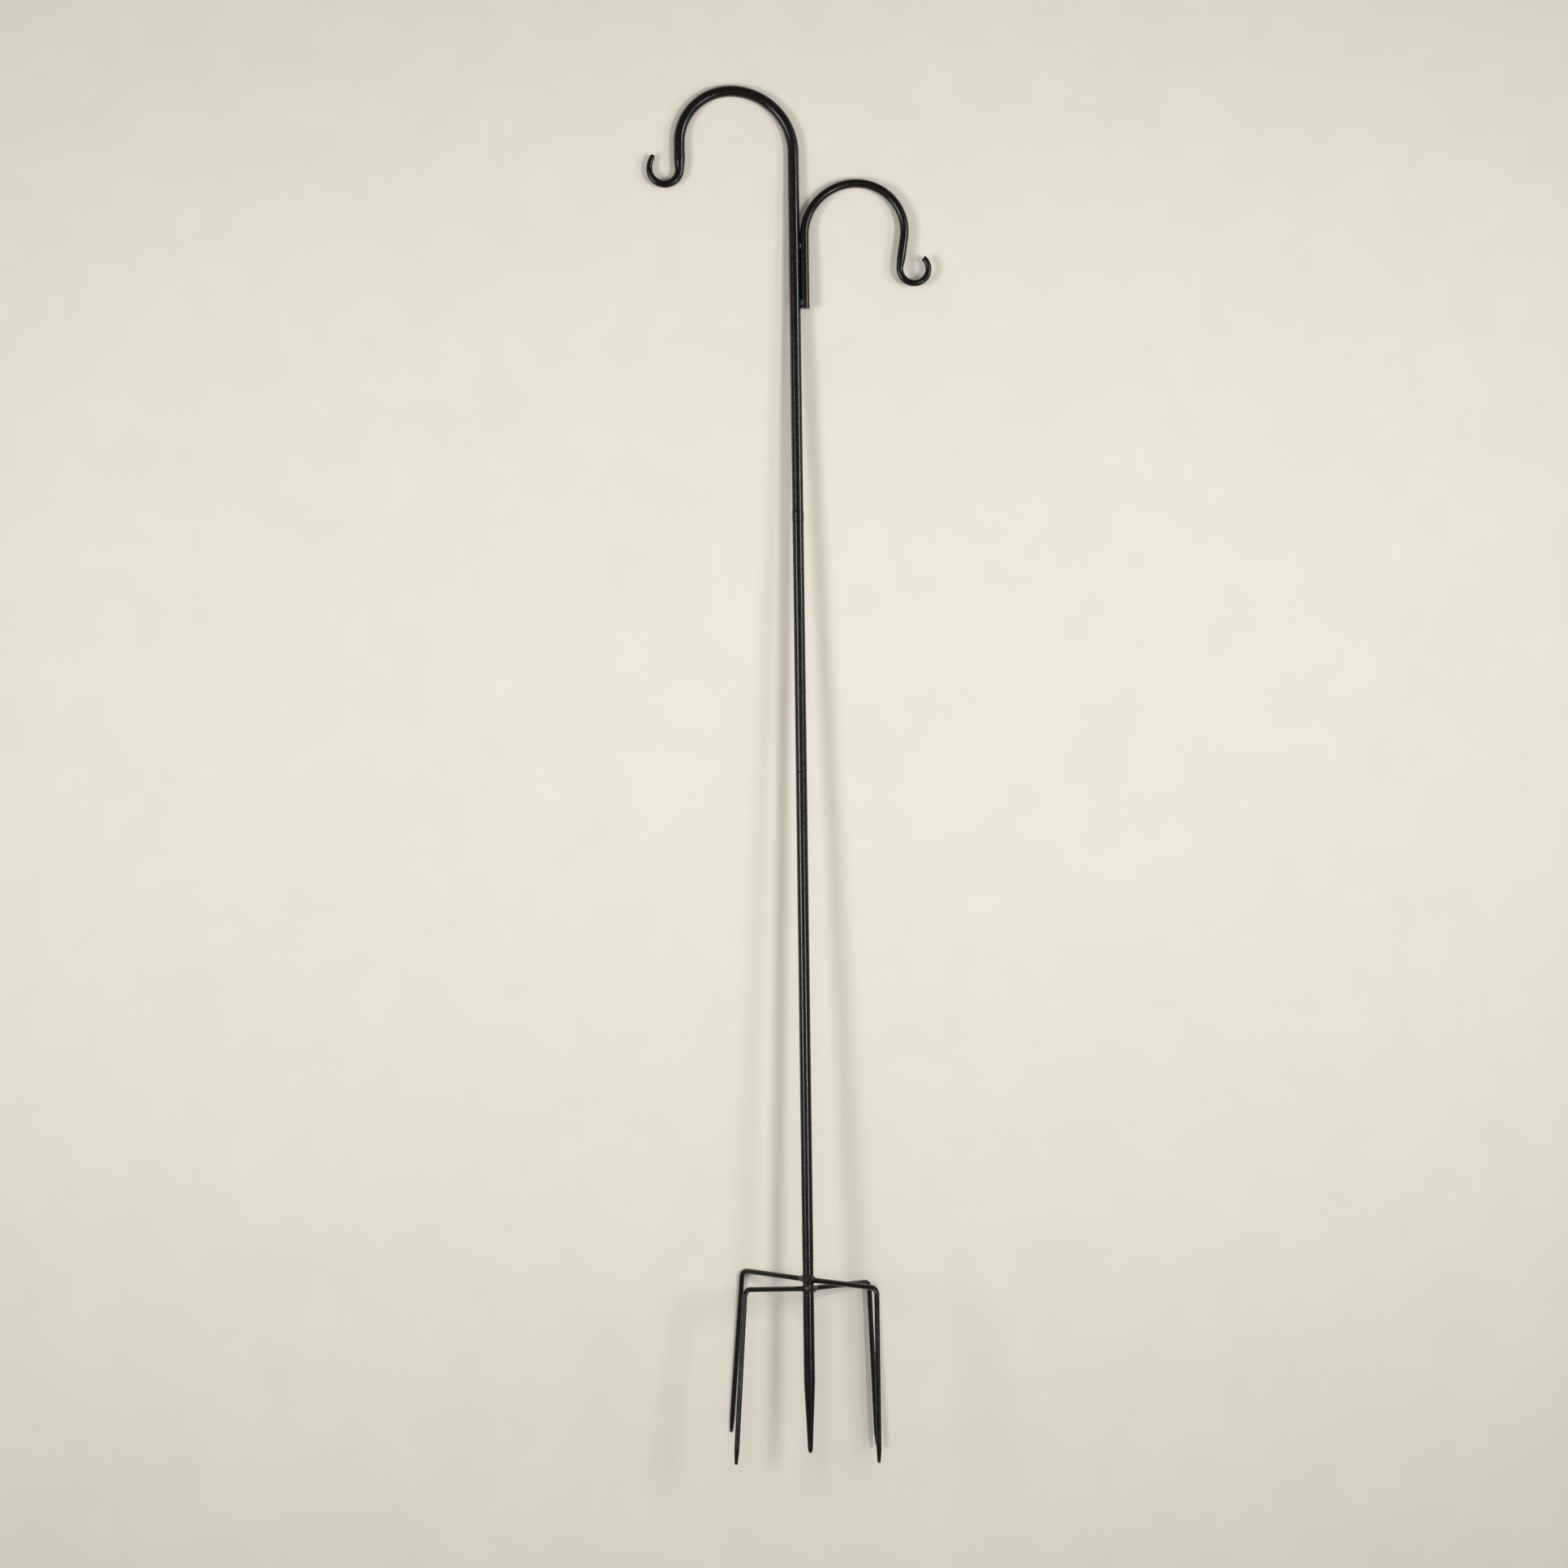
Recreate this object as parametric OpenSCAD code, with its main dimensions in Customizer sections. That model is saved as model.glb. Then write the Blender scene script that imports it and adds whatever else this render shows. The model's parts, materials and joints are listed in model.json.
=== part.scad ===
// Double shepherd's crook for hanging plants: a screw-together tubular pole with a tall crook and
// a smaller side crook at the top, and a ground base of one stake and four prongs at the bottom.
// Frame: +Z up the pole, origin on the pole's axis at the soil line, crooks in the XZ plane.

/* [Pole] */
// Outside diameter of the pole tube
pole_d = 13.5; // [12:0.1:18]
// Wall thickness of the pole tube
pole_wall = 1; // [0.8:0.1:1.3]
// Length of the lower pole section
lower_pole_len = 588; // [200:1:900]
// Length of the upper pole section
upper_pole_len = 303; // [100:1:600]
// Bevel on the cut ends of the tubes, which meet as a fine groove
tube_bevel = 0.5; // [0.1:0.1:0.7]

/* [Screw joints] */
// Diameter of the threaded studs
stud_d = 8; // [5:0.5:8]
// Length of stud that stands out of a section's end
stud_out = 13.5; // [8:0.5:20]
// Length of each stud's plug, pressed into the tube below it
stud_plug_len = 14; // [8:0.5:25]
// Length of each threaded insert in a tube's lower end
insert_len = 14; // [8:0.5:25]
// Outside diameter of the hook tube where the insert swells it
collar_d = 14.2; // [13.7:0.1:16]
// Length of the swollen collar on the hook tube
collar_len = 14; // [14:0.5:30]

/* [Main crook] */
// Straight length of the hook tube, from its lower end to the bend
crook_straight = 449; // [360:1:700]
// Radius of the arch's rising half, to the tube's centre line
crook_rise_r = 75; // [50:1:120]
// Radius of the arch's falling half, to the tube's centre line
crook_fall_r = 63; // [50:1:100]
// Straight drop after the arch at full diameter
crook_drop = 20; // [8:1:60]
// Straight length of the drawn-down neck before the small hook
crook_neck_run = 12; // [4:1:40]
// Radius of the small hook, to its centre line
hook_r = 18.3; // [15:0.1:26]
// Radius of the small hook's last stretch, which opens out
hook_lip_r = 30; // [20:1:60]
// Angle that the last stretch turns through
hook_lip_angle = 34; // [5:1:60]
// Diameter at the end of the neck
hook_neck_d = 11.2; // [8:0.1:12]
// Length over which the tube necks down
hook_neck_len = 13; // [6:0.5:30]
// Diameter at the hook's rounded tip
hook_tip_d = 6.3; // [4:0.1:7.5]

/* [Side crook] */
// Diameter of the side crook's solid rod
side_d = 10.6; // [8:0.1:12.5]
// Gap between the pole and the rod, which the welds fill
side_gap = 0.2; // [0.1:0.1:2]
// Height of the rod's cut end above the hook tube's lower end
side_start = 259; // [100:1:300]
// Straight length of the rod beside the pole
side_straight = 88; // [60:1:120]
// Radius of the side arch's rising half, to the rod's centre line
side_rise_r = 64.5; // [45:0.5:100]
// Radius of the side arch's falling half, to the rod's centre line
side_fall_r = 57.5; // [45:0.5:90]
// Angle by which the rod leans back under the arch
side_lean = 8.6; // [2:0.1:14]
// Straight length of the leaning run
side_run = 36; // [28:1:70]
// Radius of the side hook, to its centre line
side_hook_r = 17.5; // [14:0.1:26]
// Angle of the side hook past upright
side_hook_angle = 50; // [20:1:70]
// Diameter at the end of the side hook's neck
side_neck_d = 8.5; // [6:0.1:9]
// Length over which the rod necks down
side_neck_len = 16; // [6:0.5:22]
// Distance from the middle of that neck to the start of the side hook
side_neck_back = 4; // [0:0.5:14]
// Diameter at the side hook's cut tip
side_tip_d = 7; // [4:0.1:7.5]

/* [Side crook welds] */
// Height of the upper weld above the rod's cut end
weld_high = 76; // [50:1:80]
// Height of the lower weld above the rod's cut end
weld_low = 7; // [6:0.5:20]
// Length of the upper weld bead
weld_high_len = 9; // [6:0.5:12]
// Length of the lower weld bead
weld_low_len = 10; // [8:0.5:12]
// Radius of the upper weld's lumps
weld_high_r = 2; // [1.6:0.1:2.6]
// Radius of the lower weld's lumps
weld_low_r = 2.8; // [2.2:0.1:3.4]
// How far the upper weld's face stands out from the pole's axis
weld_high_out = 3.8; // [3:0.1:5]
// How far the lower weld's face stands out from the pole's axis
weld_low_out = 4.8; // [3.6:0.1:6]

/* [Ground base] */
// Depth of the stake's tip below the soil line
stake_depth = 189; // [150:1:300]
// Length of the stake's tapered end
stake_taper = 85; // [40:1:120]
// Diameter of the stake's end, before its rounded tip
stake_end_d = 6.1; // [4:0.1:9]
// Length of the stake's blunt tip
stake_tip = 6; // [4:0.5:12]
// Height of the stub's end above the soil line
stub_len = 39; // [30:1:80]
// Diameter of the stub above the soil line
stub_d = 13.1; // [12.5:0.1:13.4]

/* [Prongs] */
// Diameter of the prong rods
prong_d = 6.2; // [4:0.1:8]
// Height of the lower pair of prong arms above the soil line
prong_low = 7.2; // [6:0.1:9]
// Height of the upper pair of arms above the lower pair
prong_step = 10.9; // [9:0.1:16]
// Distance from the pole's axis to the prongs' corners
prong_reach = 110; // [60:1:160]
// Radius of the prongs' corners, to the rod's centre line
prong_bend_r = 8.5; // [5:0.5:20]
// Angle by which the cross of prongs is turned against the crooks
prong_twist_angle = -1.8; // [-10:0.1:10]
// Length of the prongs' tapered ends
prong_taper = 17; // [10:1:50]
// Diameter at the prongs' tips
prong_tip_d = 3.6; // [2:0.1:5]
// How far each prong's weld bead spreads round its rod
prong_weld = 2.6; // [1:0.1:3]

/* [Each prong, as it was bent and welded by eye] */
// Angle by which the front left arm climbs outwards
front_left_climb_angle = 4.6; // [-3:0.1:6]
// Angle by which the front left leg splays outwards
front_left_splay_angle = 5.3; // [-1:0.1:9]
// Depth of the front left tip below the soil line
front_left_depth = 186; // [150:1:300]
// Angle by which the front right arm climbs outwards
front_right_climb_angle = -1.4; // [-3:0.1:6]
// Angle by which the front right leg splays outwards
front_right_splay_angle = 0; // [-1:0.1:9]
// Depth of the front right tip below the soil line
front_right_depth = 189; // [150:1:300]
// Angle by which the back left arm climbs outwards
back_left_climb_angle = 2.1; // [-3:0.1:6]
// Angle by which the back left leg splays outwards
back_left_splay_angle = 6.4; // [-1:0.1:9]
// Depth of the back left tip below the soil line
back_left_depth = 176; // [150:1:300]
// Angle by which the back right arm climbs outwards
back_right_climb_angle = -0.8; // [-3:0.1:6]
// Angle by which the back right leg splays outwards
back_right_splay_angle = 3; // [-1:0.1:9]
// Depth of the back right tip below the soil line
back_right_depth = 194; // [150:1:300]

/* [Hidden] */
$fn = 64;

// Clearances
fit_gap = 0.03;     // between an insert or plug and the tube that holds it, on the radius
thread_gap = 0.05;  // between a stud and the insert that it screws into, on the radius
seat = 0.05;        // how much thinner a run is than the bend that it grows out of, on the radius
seat_len = 2;       // how far that run starts inside the bend

// Heights of the three screw joints above the soil line
stub_top = stub_len;
lower_top = stub_top + lower_pole_len;
upper_top = lower_top + upper_pole_len;

pole_r = pole_d / 2;
bore_r = pole_r - pole_wall;
collar_bore_r = collar_d / 2 - pole_wall;
collar_cone = 3;    // length over which the collar dies into the tube
stud_point = 1;     // bevel on a stud's end and in an insert's mouth
cut_over = 1;       // how far a cutting tool runs past what it cuts

// Driving places of the side crook and of the upper pair of prongs
side_x = pole_r + side_gap + side_d / 2;
side_z = upper_top + side_start;
prong_high = prong_low + prong_step;

// Shapes of the weld beads
prong_weld_run = 1.6;    // reach of a prong's bead along its rod, in spreads
prong_weld_edge = 0.1;   // height left at that bead's outer edge, in spreads
weld_lump = 0.9;         // radius of its lump, in spreads
weld_beads = 3;          // round lumps that make a side bead

// Each prong: the angle at which it points, seen from above; the height of its root; how its arm
// climbs; how its leg splays; its tip's depth; and the angle round the rod of its bead's lump
POINTS = 0;
ROOT = 1;
CLIMB = 2;
SPLAY = 3;
DEPTH = 4;
LUMP = 5;
FRONT_LEFT = [225 + prong_twist_angle, prong_low,
              front_left_climb_angle, front_left_splay_angle, front_left_depth, 60];
FRONT_RIGHT = [315 + prong_twist_angle, prong_high,
               front_right_climb_angle, front_right_splay_angle, front_right_depth, 20];
BACK_LEFT = [135 + prong_twist_angle, prong_high,
             back_left_climb_angle, back_left_splay_angle, back_left_depth, -40];
BACK_RIGHT = [45 + prong_twist_angle, prong_low,
              back_right_climb_angle, back_right_splay_angle, back_right_depth, -70];

SWEEP_SIDES = 32;
SWEEP_STEP = 2.2;
TIP_RINGS = 4;
TIP_FLAT = 0.45;    // share of the radius that is left at the very end of a tip

BLACK = "#1d1b1a";
WELD_BLACK = "#262423";
ZINC = "#a9acae";

// A bent rod in the XZ plane is followed as [x, z, heading]: heading 0 is +X and 90 is +Z.
// A stretch is [length, turn] in millimetres and degrees: turn 0 is straight, a positive turn is to the left.
function bend(r, turn) = [r * abs(turn) * PI / 180, turn];

function along(p, stretch, s) =
    let (turn = stretch[1] * s / stretch[0])
    turn == 0
        ? [p[0] + s * cos(p[2]), p[1] + s * sin(p[2]), p[2]]
        : let (r = s * 180 / (PI * turn))
          [p[0] + r * (sin(p[2] + turn) - sin(p[2])), p[1] - r * (cos(p[2] + turn) - cos(p[2])), p[2] + turn];

// Where the path is, s millimetres along its stretches; below 0 it is inside what comes before
function path_at(p, stretches, s, i = 0) =
    s <= stretches[i][0] || i == len(stretches) - 1
        ? along(p, stretches[i], s)
        : path_at(along(p, stretches[i], stretches[i][0]), stretches, s - stretches[i][0], i + 1);

function path_len(stretches, i = 0) = i == len(stretches) ? 0 : stretches[i][0] + path_len(stretches, i + 1);

function between(a, b, t) = a + (b - a) * min(1, max(0, t));
function eased(t) = t * t * (3 - 2 * t);

// Radius of a rod that necks down from r0, then draws down evenly to its tip, and ends in a tip
// rounded (or, with a short one, bevelled) over tip_len
function drawn_r(s, total, start, neck_len, r0, neck_r, tip_r, tip_len) =
    let (body = s < start + neck_len
             ? between(r0 - seat, neck_r, eased(min(1, max(0, s - start) / neck_len)))
             : between(neck_r, tip_r, (s - start - neck_len) / (total - start - neck_len)),
         left = max(0, total - s) / tip_len)
    left >= 1 ? body : body * (TIP_FLAT + (1 - TIP_FLAT) * sqrt(1 - pow(1 - left, 2)));

// Where the rings of a sweep stand: even steps, then a few close ones round its tip
function ring_places(total, tip_len) =
    let (n = ceil((total - tip_len) / SWEEP_STEP))
    concat([-seat_len], [for (i = [0 : n]) (total - tip_len) * i / n],
           [for (i = [1 : TIP_RINGS]) total - tip_len * (1 - sin(90 * i / TIP_RINGS))]);

function ring(p, r) =
    [for (i = [0 : SWEEP_SIDES - 1])
        let (a = 360 * i / SWEEP_SIDES)
        [p[0] - r * cos(a) * sin(p[2]), r * sin(a), p[1] + r * cos(a) * cos(p[2])]];

function ring_faces(count) =
    let (n = SWEEP_SIDES)
    concat([[for (i = [n - 1 : -1 : 0]) i]],
           [for (k = [0 : count - 2], i = [0 : n - 1])
               let (j = (i + 1) % n)
               each [[k * n + i, k * n + j, (k + 1) * n + i], [k * n + j, (k + 1) * n + j, (k + 1) * n + i]]],
           [[for (i = [0 : n - 1]) (count - 1) * n + i]]);

// A tapered rod swept along a path, from rings of points; places holds each ring's distance along it
module swept_rod(start, stretches, places, radii) {
    points = [for (k = [0 : len(places) - 1]) each ring(path_at(start, stretches, places[k]), radii[k])];
    polyhedron(points = points, faces = ring_faces(len(places)), convexity = 6);
}

// A ring or disc profile, for a tube or a rod
module section(r, inner = 0) {
    difference() {
        circle(r = r);
        if (inner > 0) circle(r = inner);
    }
}

// A quarter bend in the XZ plane, about a centre, from one angle to the next
module quarter_bend(centre, r, from, tube_r, inner = 0) {
    translate([centre[0], 0, centre[1]])
        rotate([90, 0, 0])
            rotate([0, 0, from])
                rotate_extrude(angle = 90)
                    translate([r, 0]) section(tube_r, inner);
}

// A straight tube section of the pole, standing on z = 0, with bevelled ends
module pole_tube(length) {
    rotate_extrude()
        polygon([
            [bore_r, 0], [pole_r - tube_bevel, 0], [pole_r, tube_bevel],
            [pole_r, length - tube_bevel], [pole_r - tube_bevel, length], [bore_r, length]
        ]);
}

// A stud: a plug pressed into the tube below, and a threaded end that stands out of it
module stud() {
    plug_r = bore_r - fit_gap;
    rotate_extrude()
        polygon([
            [0, -stud_plug_len], [plug_r - stud_point, -stud_plug_len], [plug_r, stud_point - stud_plug_len],
            [plug_r, 0], [stud_d / 2, 0], [stud_d / 2, stud_out - stud_point],
            [stud_d / 2 - stud_point, stud_out], [0, stud_out]
        ]);
}

// A threaded insert in the lower end of a tube, whose mouth is bevelled to lead the stud in
module insert(outer_r) {
    hole_r = stud_d / 2 + thread_gap;
    rotate_extrude()
        polygon([
            [hole_r + stud_point / 2, 0], [outer_r, 0], [outer_r, insert_len],
            [hole_r, insert_len], [hole_r, stud_point / 2]
        ]);
}

module ground_stake() {
    color(BLACK)
        difference() {
            rotate_extrude()
                polygon(concat(
                    [[0, -stake_depth]],
                    [for (a = [15 : 15 : 75])
                        [stake_end_d / 2 * sin(a), -stake_depth + stake_tip * (1 - cos(a))]],
                    [[stake_end_d / 2, stake_tip - stake_depth],
                     [pole_r, stake_taper - stake_depth], [pole_r, 0],
                     [stub_d / 2, pole_r - stub_d / 2],
                     [stub_d / 2, stub_top - tube_bevel], [stub_d / 2 - tube_bevel, stub_top], [0, stub_top]]
                ));
            translate([0, 0, stub_top - stud_plug_len]) cylinder(r = bore_r, h = stud_plug_len + cut_over);
        }
}

module ground_stake_stud() { color(ZINC) translate([0, 0, stub_top]) stud(); }

// Stands a prong's piece at its root, pointing along its arm, and copes it to the stub
module at_root(which) {
    rotate([0, 0, which[POINTS]])
        difference() {
            translate([0, 0, which[ROOT]]) rotate([0, -which[CLIMB], 0]) children();
            cylinder(r = stub_d / 2, h = stub_top);
        }
}

// A prong: an arm coped to the stub, a corner, and a leg that splays outwards to its point
module prong(which) {
    r = prong_d / 2;
    climb = which[CLIMB];
    splay = which[SPLAY];
    run = prong_reach - prong_bend_r;
    corner_z = which[ROOT] + run * sin(climb) - prong_bend_r * cos(climb) + prong_bend_r * sin(splay);
    leg = (corner_z + which[DEPTH]) / cos(splay);
    color(BLACK)
        at_root(which) {
            rotate([0, 90, 0]) cylinder(r = r, h = run);
            translate([run, 0, -prong_bend_r]) {
                rotate([90, 0, 0])
                    rotate_extrude(angle = 90 - splay + climb, start = splay - climb)
                        translate([prong_bend_r, 0]) circle(r = r);
                rotate([0, climb - splay, 0]) {
                    translate([prong_bend_r, 0, prong_taper - leg])
                        cylinder(r = r - seat, h = leg - prong_taper + seat_len / 2);
                    translate([prong_bend_r, 0, -leg])
                        cylinder(r1 = prong_tip_d / 2, r2 = r - seat, h = prong_taper);
                }
            }
        }
}

// The weld bead round a prong's root, with a lump where its run started and ended
module prong_weld(which) {
    r = prong_d / 2;
    root = stub_d / 2;
    color(WELD_BLACK)
        at_root(which)
            difference() {
                union() {
                    translate([root / 2, 0, 0])
                        rotate([0, 90, 0])
                            cylinder(
                                r1 = r + prong_weld,
                                r2 = r + prong_weld * prong_weld_edge,
                                h = root / 2 + prong_weld * prong_weld_run
                            );
                    translate([root, 0, 0])
                        rotate([which[LUMP], 0, 0])
                            translate([0, 0, r]) sphere(r = prong_weld * weld_lump);
                }
                rotate([0, 90, 0]) cylinder(r = r, h = prong_reach);
            }
}

module lower_pole() { color(BLACK) translate([0, 0, stub_top]) pole_tube(lower_pole_len); }

module lower_pole_insert() { color(ZINC) translate([0, 0, stub_top]) insert(bore_r - fit_gap); }

module lower_pole_stud() { color(ZINC) translate([0, 0, lower_top]) stud(); }

module upper_pole() { color(BLACK) translate([0, 0, lower_top]) pole_tube(upper_pole_len); }

module upper_pole_insert() { color(ZINC) translate([0, 0, lower_top]) insert(bore_r - fit_gap); }

module upper_pole_stud() { color(ZINC) translate([0, 0, upper_top]) stud(); }

// The hook tube: swollen collar, straight, two quarter bends, drop, and the drawn-down hook
module main_crook() {
    apex_x = -crook_rise_r;
    drop_x = apex_x - crook_fall_r;
    fall_z = crook_straight + crook_rise_r - crook_fall_r;
    neck_z = fall_z - crook_drop;
    stretches = [[crook_neck_run, 0], bend(hook_r, -180), bend(hook_lip_r, -hook_lip_angle)];
    total = path_len(stretches);
    tip_len = hook_tip_d / 2;
    places = ring_places(total, tip_len);
    radii = [for (s = places)
        drawn_r(s, total, 0, hook_neck_len, pole_r, hook_neck_d / 2, hook_tip_d / 2, tip_len)];
    color(BLACK)
        translate([0, 0, upper_top]) {
            rotate_extrude()
                polygon([
                    [collar_bore_r, 0], [collar_d / 2 - tube_bevel, 0], [collar_d / 2, tube_bevel],
                    [collar_d / 2, collar_len - collar_cone], [pole_r, collar_len],
                    [pole_r, crook_straight], [bore_r, crook_straight],
                    [bore_r, insert_len + pole_wall], [collar_bore_r, insert_len]
                ]);
            quarter_bend([apex_x, crook_straight], crook_rise_r, 0, pole_r, bore_r);
            quarter_bend([apex_x, fall_z], crook_fall_r, 90, pole_r, bore_r);
            translate([drop_x, 0, neck_z])
                difference() {
                    cylinder(r = pole_r, h = crook_drop);
                    translate([0, 0, -cut_over]) cylinder(r = bore_r, h = crook_drop + 2 * cut_over);
                }
            swept_rod([drop_x, neck_z, 270], stretches, places, radii);
        }
}

module main_crook_insert() { color(ZINC) translate([0, 0, upper_top]) insert(collar_bore_r - fit_gap); }

// The side crook: a solid rod beside the pole, two quarter bends, a leaning run and a drawn-down hook
module side_crook() {
    apex_x = side_x + side_rise_r;
    top_z = side_z + side_straight;
    fall_z = top_z + side_rise_r - side_fall_r;
    stretches = [
        bend(side_fall_r, -side_lean), [side_run, 0],
        bend(side_hook_r, 180 + side_lean + side_hook_angle)
    ];
    total = path_len(stretches);
    neck_start = stretches[0][0] + side_run - side_neck_len / 2 - side_neck_back;
    tip_len = tube_bevel;
    places = ring_places(total, tip_len);
    radii = [for (s = places)
        drawn_r(s, total, neck_start, side_neck_len, side_d / 2, side_neck_d / 2, side_tip_d / 2, tip_len)];
    color(BLACK) {
        translate([side_x, 0, side_z])
            rotate_extrude()
                polygon([
                    [0, 0], [side_d / 2 - tube_bevel, 0], [side_d / 2, tube_bevel],
                    [side_d / 2, side_straight], [0, side_straight]
                ]);
        quarter_bend([apex_x, top_z], side_rise_r, 90, side_d / 2);
        quarter_bend([apex_x, fall_z], side_fall_r, 0, side_d / 2);
        swept_rod([apex_x + side_fall_r, fall_z, 270], stretches, places, radii);
    }
}

// A weld that fills the groove between the pole and the rod, through from the front to the back
module side_weld(height, length, r, out) {
    x = pole_r + side_gap / 2;
    span = length - 2 * r;
    color(WELD_BLACK)
        difference() {
            for (i = [0 : weld_beads - 1])
                translate([x, 0, side_z + height + (i / (weld_beads - 1) - 0.5) * span]) {
                    rotate([90, 0, 0]) cylinder(r = r - seat, h = 2 * (out - r), center = true);
                    for (side = [-1, 1])
                        translate([0, side * (out - r), 0]) sphere(r = r);
                }
            translate([0, 0, side_z + height - length]) cylinder(r = pole_r, h = 2 * length);
            translate([side_x, 0, side_z + height - length]) cylinder(r = side_d / 2, h = 2 * length);
        }
}

ground_stake();
ground_stake_stud();
prong(FRONT_LEFT);  // prong_front_left
prong(FRONT_RIGHT);  // prong_front_right
prong(BACK_LEFT);  // prong_back_left
prong(BACK_RIGHT);  // prong_back_right
prong_weld(FRONT_LEFT);  // prong_weld_front_left
prong_weld(FRONT_RIGHT);  // prong_weld_front_right
prong_weld(BACK_LEFT);  // prong_weld_back_left
prong_weld(BACK_RIGHT);  // prong_weld_back_right
lower_pole();
lower_pole_insert();
lower_pole_stud();
upper_pole();
upper_pole_insert();
upper_pole_stud();
main_crook();
main_crook_insert();
side_crook();
side_weld(weld_high, weld_high_len, weld_high_r, weld_high_out);  // side_crook_weld_upper
side_weld(weld_low, weld_low_len, weld_low_r, weld_low_out);  // side_crook_weld_lower
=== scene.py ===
"""Hanging plant stand: the finished pieces of a screw-together double shepherd's crook.

Each piece is drawn, bent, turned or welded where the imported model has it, in metres, upright, with the
soil line at z = 0. The stand was photographed lying down, so the floor of this scene stands behind it.
"""

import json
import math

import bmesh
import bpy
from bpy.props import FloatProperty, FloatVectorProperty, PointerProperty
from mathutils import Matrix, Vector, noise

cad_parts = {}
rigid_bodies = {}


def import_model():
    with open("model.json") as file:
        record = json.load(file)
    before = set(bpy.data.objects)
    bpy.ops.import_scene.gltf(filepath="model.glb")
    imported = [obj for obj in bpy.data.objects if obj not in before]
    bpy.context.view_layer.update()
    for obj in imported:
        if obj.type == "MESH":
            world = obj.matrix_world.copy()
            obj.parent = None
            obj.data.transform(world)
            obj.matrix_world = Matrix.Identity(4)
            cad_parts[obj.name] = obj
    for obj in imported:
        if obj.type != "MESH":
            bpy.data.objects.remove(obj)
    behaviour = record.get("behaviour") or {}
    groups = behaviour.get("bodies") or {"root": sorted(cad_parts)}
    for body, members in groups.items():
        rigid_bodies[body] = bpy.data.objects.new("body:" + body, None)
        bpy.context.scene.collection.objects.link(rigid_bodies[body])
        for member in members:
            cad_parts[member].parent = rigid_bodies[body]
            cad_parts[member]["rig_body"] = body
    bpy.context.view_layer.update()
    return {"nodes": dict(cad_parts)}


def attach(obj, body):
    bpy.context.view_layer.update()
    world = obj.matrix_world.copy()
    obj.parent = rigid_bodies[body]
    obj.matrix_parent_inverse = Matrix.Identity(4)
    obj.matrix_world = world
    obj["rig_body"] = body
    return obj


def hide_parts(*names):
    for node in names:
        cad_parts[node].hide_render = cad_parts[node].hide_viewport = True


bl_info = {
    "name": "Hanging plant stand",
    "version": (1, 0, 0),
    "blender": (4, 5, 0),
    "location": "3D View > Sidebar > Plant stand",
    "description": "A double shepherd's crook of coated steel tube and rod on a pronged ground base",
    "category": "Add Mesh",
}

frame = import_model()
BODY = {node: piece["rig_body"] for node, piece in frame["nodes"].items()}

MM = 0.001
SIDES = 48                      # sides of a drawn rod or tube
HOLD = 1.2 * MM                 # how near an edge a ring stands, which keeps the long faces' shading straight
ROOM = 0.04 * MM                # left round a stud or insert, in its tube and on its thread
MERGE = 1e-6                    # points nearer than this are one
CREASE = math.radians(32)       # edges that turn more than this stay sharp


def linear(colour):
    """An sRGB hex colour as the linear colour that Blender's shaders take."""
    shares = [int(colour[i:i + 2], 16) / 255 for i in (1, 3, 5)]
    return [c / 12.92 if c <= 0.04045 else ((c + 0.055) / 1.055) ** 2.4 for c in shares] + [1.0]


def size(name, description, millimetres):
    """A length that a user can change, given here in millimetres."""
    return FloatProperty(name=name, description=description, default=millimetres * MM,
                         unit='LENGTH', subtype='DISTANCE', precision=5)


def turn(name, description, degrees):
    """An angle that a user can change, given here in degrees."""
    return FloatProperty(name=name, description=description, default=math.radians(degrees),
                         unit='ROTATION', subtype='ANGLE')


def tint(name, description, colour):
    """A colour that a user can change, given here as sRGB hex."""
    return FloatVectorProperty(name=name, description=description, default=linear(colour),
                               size=4, min=0.0, max=1.0, subtype='COLOR')


# ---------------------------------------------------------------------------------------------
# Sizes and colours


class StandPoleSizes(bpy.types.PropertyGroup):
    tube_d: size("Tube", "Outside diameter of the pole tube", 13.5)
    wall: size("Wall", "Wall thickness of the pole tube", 1.0)
    bevel: size("End bevel", "Bevel on the tubes' cut ends", 0.5)
    stub_d: size("Stub", "Diameter of the base's stub", 13.1)
    stub_top: size("Base seam", "Height of the seam on top of the stub", 39)
    middle_seam: size("Middle seam", "Height of the seam between the pole sections", 627)
    hook_seam: size("Hook seam", "Height of the seam under the hook tube", 930)
    stud_d: size("Stud", "Outside diameter of the screw threads", 8)
    pitch: size("Thread pitch", "Climb of the screw threads in one turn", 1.25)
    stud_out: size("Stud length", "Length of stud that stands out of a section", 13.5)
    plug: size("Plug length", "Length of stud or insert that is pressed into a tube", 14)


class StandCrookSizes(bpy.types.PropertyGroup):
    collar_d: size("Collar", "Diameter where the insert swells the hook tube", 14.2)
    collar_len: size("Collar length", "Length of the swollen end", 14)
    straight: size("Straight", "Length of the hook tube up to its bend", 449)
    rise_r: size("Rising radius", "Radius of the arch's rising half", 75)
    fall_r: size("Falling radius", "Radius of the arch's falling half", 63)
    drop: size("Drop", "Straight drop after the arch", 20)
    neck_run: size("Neck run", "Straight neck before the small hook", 12)
    neck_len: size("Neck length", "Length over which the tube necks down", 13)
    neck_d: size("Neck", "Diameter after the neck", 11.2)
    hook_r: size("Hook radius", "Radius of the small hook", 18.3)
    lip_r: size("Lip radius", "Radius of the hook's last stretch", 30)
    lip_turn: turn("Lip turn", "Angle that the last stretch turns through", 34)
    tip_d: size("Tip", "Diameter at the rounded tip", 6.3)


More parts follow.
